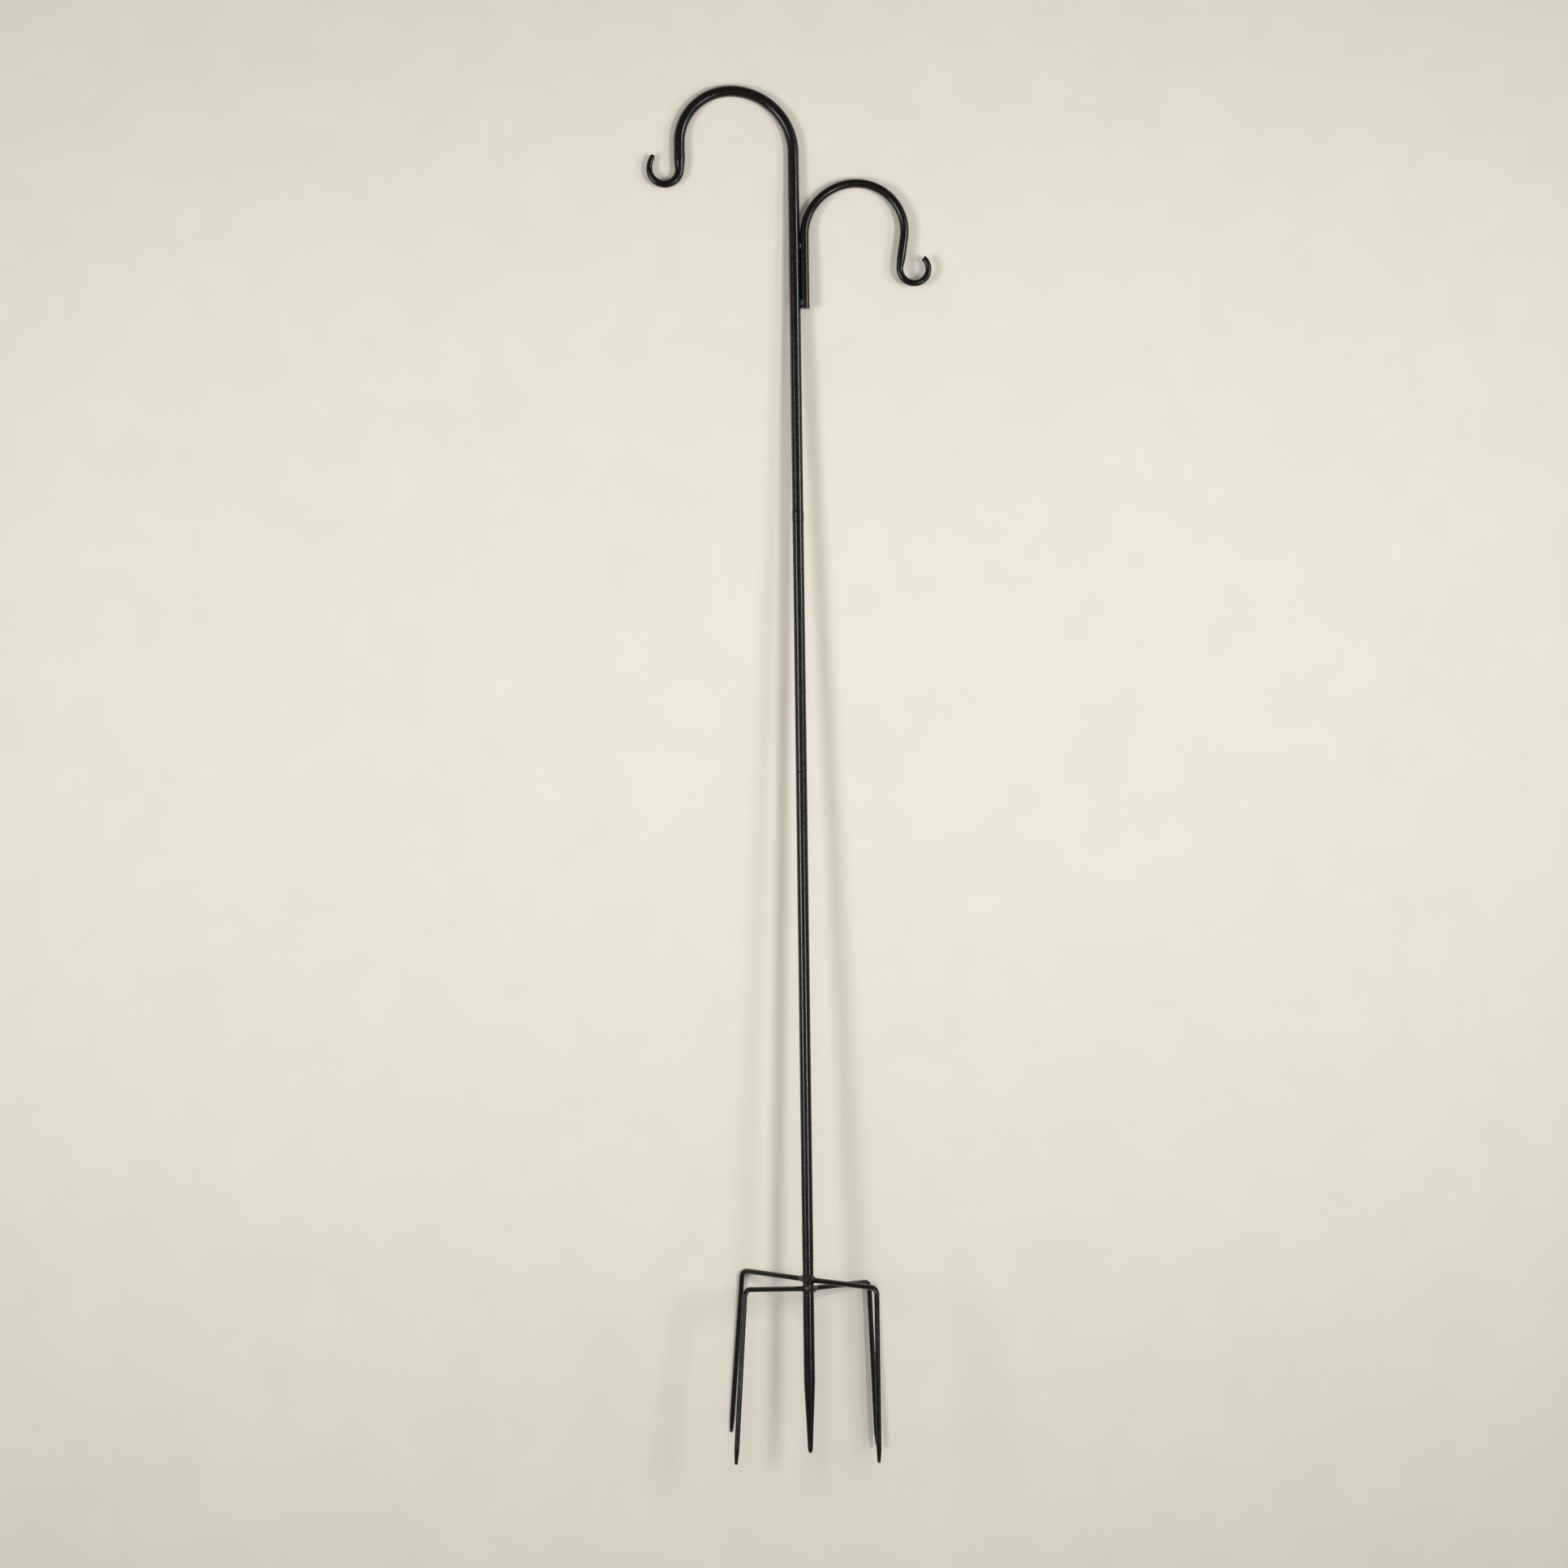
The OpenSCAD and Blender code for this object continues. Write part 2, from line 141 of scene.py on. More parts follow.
class StandSideCrookSizes(bpy.types.PropertyGroup):
    rod_d: size("Rod", "Diameter of the side crook's rod", 10.6)
    gap: size("Gap", "Gap between pole and rod, which the welds fill", 0.2)
    start: size("Cut end", "Height of the rod's cut end above the hook seam", 259)
    straight: size("Straight", "Length of rod beside the pole", 88)
    rise_r: size("Rising radius", "Radius of the side arch's rising half", 64.5)
    fall_r: size("Falling radius", "Radius of the side arch's falling half", 57.5)
    lean: turn("Lean", "Angle by which the rod leans back under the arch", 8.6)
    run: size("Leaning run", "Length of the leaning run", 36)
    hook_r: size("Hook radius", "Radius of the side hook", 17.5)
    hook_turn: turn("Hook turn", "Angle of the side hook past upright", 50)
    neck_len: size("Neck length", "Length over which the rod necks down", 16)
    neck_back: size("Neck place", "Distance from the neck's middle to the hook", 4)
    neck_d: size("Neck", "Diameter after the neck", 8.5)
    tip_d: size("Tip", "Diameter at the cut tip", 7)
    weld_high: size("Upper weld", "Height of the upper weld above the cut end", 76)
    weld_low: size("Lower weld", "Height of the lower weld above the cut end", 7)
    weld_high_len: size("Upper weld length", "Length of the upper weld bead", 9)
    weld_low_len: size("Lower weld length", "Length of the lower weld bead", 10)


class StandBaseSizes(bpy.types.PropertyGroup):
    depth: size("Stake depth", "Depth of the stake's tip", 189)
    taper: size("Stake taper", "Length of the stake's tapered end", 85)
    end_d: size("Stake end", "Diameter of the stake's end", 6.1)
    tip: size("Stake tip", "Length of the stake's blunt tip", 6)
    shoulder: size("Shoulder", "Length over which the shank narrows to the stub", 3)
    prong_d: size("Prongs", "Diameter of the prong rods", 6.2)
    reach: size("Reach", "Distance from the pole's axis to the corners", 110)
    corner_r: size("Corner", "Radius of the prongs' corners", 8.5)
    low: size("Lower arms", "Height of the lower pair of arms", 7.2)
    step: size("Step", "Height of the upper pair above the lower", 10.9)
    twist: turn("Twist", "Turn of the cross of prongs against the crooks", -1.8)
    prong_taper: size("Prong taper", "Length of the prongs' tapered ends", 17)
    prong_tip_d: size("Prong tip", "Diameter at the prongs' tips", 3.6)


class StandFinishes(bpy.types.PropertyGroup):
    coat: tint("Powder coat", "Black of the powder coat", "#0c0805")
    coat_pale: tint("Powder coat, thin", "Black where the coat is thin", "#140f0b")
    # The weld's grey is partly its thinner coat and partly painted sheen, for the light that its facets catch
    weld: tint("Weld", "Grey-black of the thin coat over a weld", "#302c29")
    steel: tint("Worn steel", "Steel that shows where the coat is rubbed", "#8d8683")
    zinc: tint("Zinc", "Zinc plate on studs and inserts", "#c4c7c9")
    zinc_warm: tint("Zinc, warm", "Yellowish cast of the zinc plate", "#c6bfa9")
    floor: tint("Floor", "Pale floor that the stand lies on", "#eae1d5")
    room: tint("Surroundings", "Pale surroundings that the eye sees past the floor", "#e6dfd5")


# Each prong: its direction in degrees, seen from above; arm height (0 lower, 1 upper); climb and splay
# in degrees; and tip depth in millimetres
PRONGS = {
    "front_left": (225, 0, 4.6, 5.3, 186),
    "front_right": (315, 1, -1.4, 0.0, 189),
    "back_left": (135, 1, 2.1, 6.4, 176),
    "back_right": (45, 0, -0.8, 3.0, 194),
}
# Each prong's weld: its reach along the arm and over the stub in millimetres, the angle from the arm's
# top at which it is fullest, positive on the arm's left, and how much fuller it is there
FILLETS = {
    "front_left": (4.2, 3.2, 120, 0.45),
    "front_right": (4.6, 3.2, -35, 0.5),
    "back_left": (7.0, 2.4, 20, 0.35),
    "back_right": (8.0, 3.0, -150, 0.45),
}


# ---------------------------------------------------------------------------------------------
# Shaping


def lathe(outline, closed=False, sides=64):
    """Turns an outline of (radius, height) points on the pole's axis."""
    bm = bmesh.new()
    points = [bm.verts.new((radius, 0.0, height)) for radius, height in outline]
    pairs = list(zip(points, points[1:])) + ([(points[-1], points[0])] if closed else [])
    edges = [bm.edges.new(pair) for pair in pairs]
    bmesh.ops.spin(bm, geom=points + edges, cent=(0, 0, 0), axis=(0, 0, 1), dvec=(0, 0, 0),
                   angle=math.tau, steps=sides, use_merge=True, use_duplicate=False)
    bmesh.ops.remove_doubles(bm, verts=bm.verts, dist=MERGE)
    return bm


def pull(bm, edges):
    """Extrudes a ring of edges in place; returns the new ring's points and edges."""
    made = bmesh.ops.extrude_edge_only(bm, edges=edges)["geom"]
    points = [g for g in made if isinstance(g, bmesh.types.BMVert)]
    fresh = set(points)
    return points, [g for g in made if isinstance(g, bmesh.types.BMEdge) and set(g.verts) <= fresh]


def widen(bm, points, place, ratio):
    """Scales a ring about the place that it was drawn to."""
    bmesh.ops.scale(bm, vec=(ratio, ratio, ratio), space=place.inverted(), verts=points)


def draw_rod(bm, place, stretches, radius_at, sides=SIDES):
    """Draws a ring along stretches of (length, turn, step), as rod is drawn and then bent.

    It starts at a place whose +Z is the rod's heading; a positive turn is towards that place's -X.
    radius_at gives the radius at a distance. Returns the first and last rings and the last place.
    """
    radius = radius_at(0.0)
    ring = bmesh.ops.create_circle(bm, cap_ends=False, radius=radius, segments=sides, matrix=place)["verts"]
    first = edges = list({edge for point in ring for edge in point.link_edges})
    gone = 0.0
    for length, bend, step in stretches:
        count = max(1, math.ceil(length / step - MERGE))
        start = place
        for i in range(1, count + 1):
            if bend:
                centre = Matrix.Translation((-length / bend, 0, 0))
                move = centre @ Matrix.Rotation(-bend * i / count, 4, 'Y') @ centre.inverted()
            else:
                move = Matrix.Translation((0, 0, length * i / count))
            points, edges = pull(bm, edges)
            bmesh.ops.transform(bm, matrix=start @ move @ place.inverted(), verts=points,
                                space=Matrix.Identity(4))
            place = start @ move
            wanted = radius_at(gone + length * i / count)
            widen(bm, points, place, wanted / radius)
            radius = wanted
        gone += length
    return first, edges, place


def cap(bm, edges):
    """Closes a ring with a flat end."""
    return bmesh.ops.edgeloop_fill(bm, edges=edges)["faces"]


def bore(bm, edges, place, ratio, depth):
    """Makes the ring at a tube's end into its wall and a blind bore."""
    points, edges = pull(bm, edges)
    widen(bm, points, place, ratio)
    points, edges = pull(bm, edges)
    heading = place.to_3x3() @ Vector((0, 0, depth))
    bmesh.ops.translate(bm, vec=heading, verts=points)
    cap(bm, edges)


def soften(bm, width, segments=2):
    """Rounds the sharp edges that a saw or a die leaves."""
    sharp = [e for e in bm.edges if len(e.link_faces) == 2 and e.calc_face_angle() > CREASE]
    bmesh.ops.bevel(bm, geom=sharp, offset=width, offset_type='OFFSET', segments=segments,
                    profile=0.5, affect='EDGES', clamp_overlap=True, material=-1)


def finish_piece(bm, name, node, finish, worn=None, merge=True):
    """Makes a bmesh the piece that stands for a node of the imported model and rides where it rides."""
    if merge:
        bmesh.ops.remove_doubles(bm, verts=bm.verts, dist=MERGE)
    bmesh.ops.recalc_face_normals(bm, faces=bm.faces)
    wear = bm.verts.layers.float.new("wear")
    for point in bm.verts:
        point[wear] = worn(point.co) if worn else 0.0
    for face in bm.faces:
        face.smooth = True
    for edge in bm.edges:
        edge.smooth = len(edge.link_faces) == 2 and edge.calc_face_angle() < CREASE
    mesh = bpy.data.meshes.new(name)
    bm.to_mesh(mesh)
    bm.free()
    mesh.materials.append(finish)
    piece = bpy.data.objects.new(name, mesh)
    bpy.context.scene.collection.objects.link(piece)
    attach(piece, BODY[node])
    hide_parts(node)
    return piece


def put_by(bm):
    """Puts a bmesh by as a mesh, to be joined to another."""
    mesh = bpy.data.meshes.new("put_by")
    bm.to_mesh(mesh)
    bm.free()
    return mesh


def near(value, place, reach):
    """1 at a place, falling to 0 at a reach from it."""
    return max(0.0, 1.0 - abs(value - place) / reach)


def eased(t):
    """Goes smoothly from 0 to 1 as t does, and stays there."""
    t = min(1.0, max(0.0, t))
    return t * t * (3 - 2 * t)


def drawn_radius(total, start, neck_len, whole, neck, tip, tip_len):
    """Radius along a rod that necks down, then draws down evenly to a rounded or bevelled tip."""
    necked = start + neck_len
    flat = 0.45     # share of the radius that is flat at the very tip

    def radius_at(gone):
        if gone < necked:
            body = whole + (neck - whole) * eased((gone - start) / neck_len)
        else:
            body = neck + (tip - neck) * (gone - necked) / (total - necked)
        left = max(0.0, total - gone) / tip_len
        return body if left >= 1 else body * (flat + (1 - flat) * math.sqrt(1 - (1 - left) ** 2))
    return radius_at


def lumps(at, size, seed):
    """How proud the uneven face of a weld stands at a point, from -1 to 1, in lumps of a given size."""
    where = at / size + Vector((seed * 17.3, seed * 5.1, 0.0))      # so far apart that no two welds match
    return noise.noise(where) + 0.4 * noise.noise(where * 2.3)


def groove_bead(bm, place, reach, uneven, seed):
    """Lays a blunt bead of weld along +Z of a place in the groove between pole and rod.

    reach is its half size along the place's X, Y and Z; uneven is the share by which lumps stand proud.
    """
    blunt = 0.72                # 1 is a ball, and less fills it out towards a block
    ripples, slant = 9.0, 1.2   # how close the ripples lie, and how far they lean across the bead
    ball = bmesh.ops.create_uvsphere(bm, u_segments=32, v_segments=40, radius=1.0)["verts"]
    for point in ball:
        at = point.co.copy()
        filled = Vector([math.copysign(abs(c) ** blunt, c) for c in at])
        ripple = 0.03 * math.sin(ripples * at.z + slant * at.x) * (1 - at.z ** 4)
        point.co = filled * (0.9 + ripple + uneven * lumps(at, 0.55, seed))
    bmesh.ops.scale(bm, vec=reach, space=Matrix.Identity(4), verts=ball)
    bmesh.ops.transform(bm, matrix=place, space=Matrix.Identity(4), verts=ball)


def corner_fillet(bm, stub, rod, climb, weld, seed):
    """Lays a hollow-faced fillet of weld in the corner between a stub and the arm butted against it.

    It is made in the arm's own frame: +Z along the arm, -X up, the stub's axis through the origin.
    A ring of weld is turned round the arm, and its section is then laid into the corner.
    """
    arm_leg, stub_leg, fullest, fuller = weld
    sink, around = 0.25 * MM, 24        # how deep the weld bites, and the sides of its section
    face = 0.75                         # share of the section that shows, the rest being inside stub and arm
    buried = (1 - face) / 2
    hollow = 1.45                       # 1 is a straight face from stub to arm, and more is hollow
    fuller_over = 0.9                   # radians round the arm to either side of its fullest
    start = Matrix.Translation((2 * rod, 0, 0)) @ Matrix.Rotation(math.pi / 2, 4, 'X')
    ring = bmesh.ops.create_circle(bm, cap_ends=False, radius=rod, segments=around, matrix=start)["verts"]
    edges = list({edge for point in ring for edge in point.link_edges})
    bmesh.ops.spin(bm, geom=ring + edges, cent=(0, 0, 0), axis=(0, 0, 1), dvec=(0, 0, 0),
                   angle=math.tau, steps=80, use_merge=True, use_duplicate=False)
    bmesh.ops.remove_doubles(bm, verts=bm.verts, dist=MERGE)
    for point in bm.verts:
        x, y, z = point.co
        from_top = math.atan2(y, -x)
        share = ((math.atan2(z, math.hypot(x, y) - 2 * rod) / math.tau) + 1) % 1
        gap = (from_top - math.radians(fullest) + math.pi) % math.tau - math.pi
        round_arm = Vector((math.cos(from_top), math.sin(from_top), 0.0))
        full = 1 + fuller * math.exp(-(gap / fuller_over) ** 2)
        full *= 1 + 0.2 * lumps(round_arm, 1.1, seed)
        leg, foot = arm_leg * MM * full, stub_leg * MM * full
        if share <= face:
            # the face that shows, from the stub to the arm, with its lumps and fine ripples
            t = share / face
            lump = 0.55 * MM * lumps(round_arm * 2 + Vector((0, 0, 2 * t)), 1.0, seed)
            ripple = 0.03 * MM * math.sin(14 * from_top + 3 * t)
            proud = math.sin(math.pi * t) * (lump + ripple)
            out, run = foot * (1 - t) ** hollow + proud, leg * t ** hollow + proud
            hug = (1 - t) ** 2
        elif share < face + buried:
            out, run, hug = -sink, leg - (sink + leg) * (share - face) / buried, 0.0
        else:
            out, run, hug = -sink + (foot + sink) * (share - face - buried) / buried, -sink, 1.0
        out, run = out - 0.4 * sink, run - 0.4 * sink       # so that its thin edges bite too
        side = (rod + out) * math.sin(from_top)
        # butted straight on beside the arm, and wrapped round the stub further out
        straight = run + math.sqrt(stub ** 2 - min(abs(side), 0.97 * stub) ** 2)
        about = side / stub
        down = -(rod + out) * math.cos(from_top)
        point.co = (down,
                    side + ((stub + run) * math.sin(about) - side) * hug,
                    straight + ((stub + run) * math.cos(about) - straight) * hug - down * math.tan(climb))


# ---------------------------------------------------------------------------------------------
# Finishes


def add(tree, kind, inputs=None, **settings):
    """Adds a node: settings are its properties, inputs are its sockets' values or what links to them."""
    made = tree.nodes.new(kind)
    for name, value in settings.items():
        setattr(made, name, value)
    for name, value in (inputs or {}).items():
        socket = made.inputs[name]
        if isinstance(value, bpy.types.NodeSocket):
            tree.links.new(value, socket)
        else:
            socket.default_value = value
    return made


def blank(name):
    """A new material with an empty tree; returns both."""
    material = bpy.data.materials.new(name)
    material.use_nodes = True
    material.node_tree.nodes.clear()
    return material, material.node_tree


def powder_coat(name, roughness=0.25, peel=1.0, thin=None):
    """Powder-coated mild steel, baked semi-gloss black.

    The powder flows into a skin with a faint orange peel, so a highlight is a little soft and ragged.
    It rubs through at the points that go into soil and on the tubes' ends where sections are screwed up.
    On a weld it lies thinner over scale and ripples, and so is less glossy and greyer, partly as painted
    sheen.
    """
    colours = bpy.context.scene.stand_finishes
    material, tree = blank(name)
    here = add(tree, "ShaderNodeTexCoord").outputs["Object"]
    # Drifts of thicker and thinner coat, 14 mm across
    drift = add(tree, "ShaderNodeTexNoise", {"Vector": here, "Scale": 1 / (14 * MM), "Detail": 3.0})
    black = add(tree, "ShaderNodeMix", {
        "Factor": drift.outputs["Fac"], "A": colours.coat, "B": thin or colours.coat_pale},
        data_type='RGBA')
    # Rubbed places, in specks 0.8 mm across, where the mesh says that a part is handled
    specks = add(tree, "ShaderNodeTexNoise", {"Vector": here, "Scale": 1 / (0.8 * MM), "Detail": 4.0})
    wear = add(tree, "ShaderNodeAttribute", attribute_name="wear")
    rubbed = add(tree, "ShaderNodeMath", {
        0: specks.outputs["Fac"], 1: wear.outputs["Fac"]}, operation='MULTIPLY')
    bare = add(tree, "ShaderNodeMapRange", {
        "Value": rubbed.outputs["Value"], "From Min": 0.42, "From Max": 0.5, "To Max": 0.8})
    shown = add(tree, "ShaderNodeMix", {
        "Factor": bare.outputs["Result"], "A": black.outputs["Result"], "B": colours.steel},
        data_type='RGBA')
    # Gloss drifts over 5 mm: the skin is smoother where it ran thick
    sheen = add(tree, "ShaderNodeTexNoise", {"Vector": here, "Scale": 1 / (5 * MM), "Detail": 2.0})
    rough = add(tree, "ShaderNodeMapRange", {
        "Value": sheen.outputs["Fac"], "From Min": 0.3, "From Max": 0.7,
        "To Min": roughness - 0.06, "To Max": roughness + 0.08})
    # Orange peel, 2.2 mm across, over a fine grit of 0.6 mm; real peel is nearer 1 mm, and is drawn
    # this coarse so that it shows at the picture's one pixel a millimetre
    orange = add(tree, "ShaderNodeTexNoise", {"Vector": here, "Scale": 1 / (2.2 * MM), "Detail": 1.0})
    grit = add(tree, "ShaderNodeTexNoise", {"Vector": here, "Scale": 1 / (0.6 * MM), "Detail": 0.0})
    fine = add(tree, "ShaderNodeBump", {
        "Height": grit.outputs["Fac"], "Strength": 0.08 * peel, "Distance": 0.02 * MM})
    skin = add(tree, "ShaderNodeBump", {
        "Height": orange.outputs["Fac"], "Normal": fine.outputs["Normal"],
        "Strength": 0.2 * peel, "Distance": 0.08 * MM})
    coat = add(tree, "ShaderNodeBsdfPrincipled", {
        "Base Color": shown.outputs["Result"], "Roughness": rough.outputs["Result"],
        "Metallic": bare.outputs["Result"], "Normal": skin.outputs["Normal"], "IOR": 1.5})
    add(tree, "ShaderNodeOutputMaterial", {"Surface": coat.outputs["BSDF"]})
    return material


def zinc_plate(name):
    """Bright zinc plate on turned steel.

    It is a cool silver with a faint yellow cast in patches, and keeps the lathe's fine rings.
    """
    colours = bpy.context.scene.stand_finishes
    material, tree = blank(name)
    here = add(tree, "ShaderNodeTexCoord").outputs["Object"]
    cast = add(tree, "ShaderNodeTexNoise", {"Vector": here, "Scale": 1 / (3 * MM), "Detail": 3.0})
    silver = add(tree, "ShaderNodeMix", {
        "Factor": cast.outputs["Fac"], "A": colours.zinc, "B": colours.zinc_warm}, data_type='RGBA')
    # Lathe rings 0.25 mm apart along the pole's axis
    rings = add(tree, "ShaderNodeTexWave", {
        "Vector": here, "Scale": 1 / (0.25 * MM) / 20, "Distortion": 1.5, "Detail": 1.0},
        wave_type='BANDS', bands_direction='Z')
    rough = add(tree, "ShaderNodeMapRange", {
        "Value": cast.outputs["Fac"], "To Min": 0.22, "To Max": 0.42})
    turned = add(tree, "ShaderNodeBump", {
        "Height": rings.outputs["Fac"], "Strength": 0.3, "Distance": 0.01 * MM})
    plate = add(tree, "ShaderNodeBsdfPrincipled", {
        "Base Color": silver.outputs["Result"], "Metallic": 1.0,
        "Roughness": rough.outputs["Result"], "Normal": turned.outputs["Normal"]})
    add(tree, "ShaderNodeOutputMaterial", {"Surface": plate.outputs["BSDF"]})
    return material


def pale_floor(aim):
    """Plain matt floor, in clouds a hair lighter and darker.

    It fades out far from the aim and isn't there from behind, so that no view meets its rim. The coat
    mirrors it only as far as 0.2 m to either side, and past that the dark room.
    """
    material, tree = blank("pale_floor")
    here = add(tree, "ShaderNodeTexCoord").outputs["Object"]
    # Clouds 70 mm across
    clouds = add(tree, "ShaderNodeTexNoise", {"Vector": here, "Scale": 1 / (70 * MM), "Detail": 4.0})
    shade = add(tree, "ShaderNodeMapRange", {
        "Value": clouds.outputs["Fac"], "From Min": 0.3, "From Max": 0.7, "To Min": 0.985, "To Max": 1.015})
    pale = add(tree, "ShaderNodeHueSaturation", {
        "Color": bpy.context.scene.stand_finishes.floor, "Value": shade.outputs["Result"]})
    matt = add(tree, "ShaderNodeBsdfDiffuse", {"Color": pale.outputs["Color"]})
    clear = add(tree, "ShaderNodeBsdfTransparent")
    # Metres from the aim over which it fades, and to either side over which the coat stops mirroring it
    far = add(tree, "ShaderNodeVectorMath", {0: here, 1: aim}, operation='DISTANCE')
    rim = add(tree, "ShaderNodeMapRange", {
        "Value": far.outputs["Value"], "From Min": 1.5, "From Max": 2.1}, interpolation_type='SMOOTHSTEP')
    place = add(tree, "ShaderNodeSeparateXYZ", {"Vector": here})
    across = add(tree, "ShaderNodeMath", {0: place.outputs["X"]}, operation='ABSOLUTE')
    past = add(tree, "ShaderNodeMapRange", {
        "Value": across.outputs["Value"], "From Min": 0.2, "From Max": 0.5})
    path = add(tree, "ShaderNodeLightPath")
    mirrored = add(tree, "ShaderNodeMath", {
        0: past.outputs["Result"], 1: path.outputs["Is Glossy Ray"]}, operation='MULTIPLY')
    behind = add(tree, "ShaderNodeNewGeometry")
    unseen = add(tree, "ShaderNodeMath", {
        0: mirrored.outputs["Value"], 1: behind.outputs["Backfacing"]}, operation='MAXIMUM')
    gone = add(tree, "ShaderNodeMath", {
        0: rim.outputs["Result"], 1: unseen.outputs["Value"]}, operation='MAXIMUM')
    seen = add(tree, "ShaderNodeMixShader", {
        0: gone.outputs["Value"], 1: matt.outputs["BSDF"], 2: clear.outputs["BSDF"]})
    add(tree, "ShaderNodeOutputMaterial", {"Surface": seen.outputs["Shader"]})
    return material


def finish(kind):
    """The material of that name, made the first time that it is wanted."""
    # The weld's paler grey: partly thin coat, partly painted sheen
    thin = bpy.context.scene.stand_finishes.weld
    makers = {
        "black_powder_coat": lambda: powder_coat(kind),
        "weld_coat_and_painted_sheen": lambda: powder_coat(kind, roughness=0.27, peel=1.3, thin=thin),
        "bright_zinc_plate": lambda: zinc_plate(kind),
    }
    return bpy.data.materials.get(kind) or makers[kind]()


# ---------------------------------------------------------------------------------------------
# Pieces


class StandPiece:
    """What every operator of this file has in common."""
    bl_options = {'REGISTER', 'UNDO'}


class STAND_OT_ground_stake(StandPiece, bpy.types.Operator):
    """Turns the stake: stub, shank, taper and blunt tip in one piece"""
    bl_idname = "stand.ground_stake"
    bl_label = "Ground stake"

    def execute(self, context):
        pole, base = context.scene.stand_pole, context.scene.stand_base
        shank, stub, end = pole.tube_d / 2, pole.stub_d / 2, base.end_d / 2
        hole = shank - pole.wall
        tip = [(end * math.sin(math.radians(a)), -base.depth + base.tip * (1 - math.cos(math.radians(a))))
               for a in range(0, 90, 9)]
        outline = tip + [
            (end, base.tip - base.depth), (shank, base.taper - base.depth),
            (shank, base.taper - base.depth + HOLD)]
        steps, below = 6, 0.8       # of the shoulder, and the share of it under the soil line
        outline += [(stub + (shank - stub) * (1 - eased(i / steps)), base.shoulder * (i / steps - below))
                    for i in range(steps + 1)]
        outline += [
            (stub, pole.stub_top - pole.bevel - HOLD),
            (stub, pole.stub_top - pole.bevel), (stub - pole.bevel, pole.stub_top),
            (hole, pole.stub_top), (hole, pole.stub_top - pole.plug), (0.0, pole.stub_top - pole.plug)]
        bm = lathe(outline)
        soften(bm, 0.12 * MM)
        finish_piece(bm, "stake_turned", "ground_stake", finish("black_powder_coat"),
                     lambda at: 0.85 * near(at.z, -base.depth, 30 * MM))
        return {'FINISHED'}


def prong_root(which, base):
    """Where a prong's arm starts, on the pole's axis, with +Z along the arm and -X upwards."""
    points, row, climb, *_ = PRONGS[which]
    return (Matrix.Rotation(math.radians(points) + base.twist, 4, 'Z')
            @ Matrix.Translation((0, 0, base.low + row * base.step))
            @ Matrix.Rotation(math.radians(90 - climb), 4, 'Y'))


class STAND_OT_prongs(StandPiece, bpy.types.Operator):
    """Bends the four prongs, each with its own climb and splay, and points their ends"""
    bl_idname = "stand.prongs"
    bl_label = "Prongs"

    def execute(self, context):
        base = context.scene.stand_base
        rod, point = base.prong_d / 2, base.prong_tip_d / 2
        hidden = 2 * MM     # the arm starts this far from the axis, inside the stub
        for which, (_, row, climb, splay, depth) in PRONGS.items():
            climb, splay = math.radians(climb), math.radians(splay)
            run = base.reach - base.corner_r
            corner_z = (base.low + row * base.step + run * math.sin(climb)
                        - base.corner_r * (math.cos(climb) - math.sin(splay)))
            leg = (corner_z + depth * MM) / math.cos(splay)
            bend = math.pi / 2 - splay + climb
            stretches = [
                (run - hidden, 0, 40 * MM), (base.corner_r * bend, -bend, 0.7 * MM),
                (leg - base.prong_taper - HOLD, 0, 40 * MM), (HOLD, 0, HOLD), (base.prong_taper, 0, 2 * MM)]
            total = sum(length for length, _, _ in stretches)
            bent = stretches[0][0] + stretches[1][0] - MERGE

            def radius_at(gone):
                """The rod, thinned by a hair under the bend that stretched it, and drawn to its point."""
                if gone < bent:
                    return rod
                return point + (rod - 0.07 * MM - point) * min(1.0, (total - gone) / base.prong_taper)

            bm = bmesh.new()
            place = prong_root(which, base) @ Matrix.Translation((0, 0, hidden))
            first, last, _ = draw_rod(bm, place, stretches, radius_at)
            cap(bm, first)
            cap(bm, last)
            soften(bm, 0.45 * MM, 3)
            finish_piece(bm, f"prong_{which}_rod", f"prong_{which}", finish("black_powder_coat"),
                         lambda at, low=-depth * MM: 0.85 * near(at.z, low, 22 * MM))
        return {'FINISHED'}


class STAND_OT_prong_welds(StandPiece, bpy.types.Operator):
    """Lays an uneven fillet of weld round each prong where it meets the stub"""
    bl_idname = "stand.prong_welds"
    bl_label = "Prong welds"

    def execute(self, context):
        pole, base = context.scene.stand_pole, context.scene.stand_base
        for seed, (which, prong) in enumerate(PRONGS.items()):
            bm = bmesh.new()
            corner_fillet(bm, pole.stub_d / 2, base.prong_d / 2, math.radians(prong[2]), FILLETS[which],
                          seed + 1)
            bmesh.ops.transform(bm, matrix=prong_root(which, base), space=Matrix.Identity(4), verts=bm.verts)
            finish_piece(bm, f"prong_{which}_bead", f"prong_weld_{which}", finish("weld_coat_and_painted_sheen"))
        return {'FINISHED'}


class STAND_OT_pole_sections(StandPiece, bpy.types.Operator):
    """Cuts the two plain tube sections and bevels their ends"""
    bl_idname = "stand.pole_sections"
    bl_label = "Pole sections"

    def execute(self, context):
        pole = context.scene.stand_pole
        outer, inner, cut = pole.tube_d / 2, pole.tube_d / 2 - pole.wall, pole.bevel
        for name, node, low, high in (
                ("pole_lower_tube", "lower_pole", pole.stub_top, pole.middle_seam),
                ("pole_upper_tube", "upper_pole", pole.middle_seam, pole.hook_seam)):
            outline = [(inner, low), (outer - cut, low), (outer, low + cut), (outer, low + cut + HOLD),
                       (outer, high - cut - HOLD), (outer, high - cut), (outer - cut, high), (inner, high)]

            def worn(at):
                return 0.8 * max(near(at.z, low, 1 * MM), near(at.z, high, 1 * MM))

            bm = lathe(outline, closed=True)
            soften(bm, 0.15 * MM, 3)
            finish_piece(bm, name, node, finish("black_powder_coat"), worn)
        return {'FINISHED'}


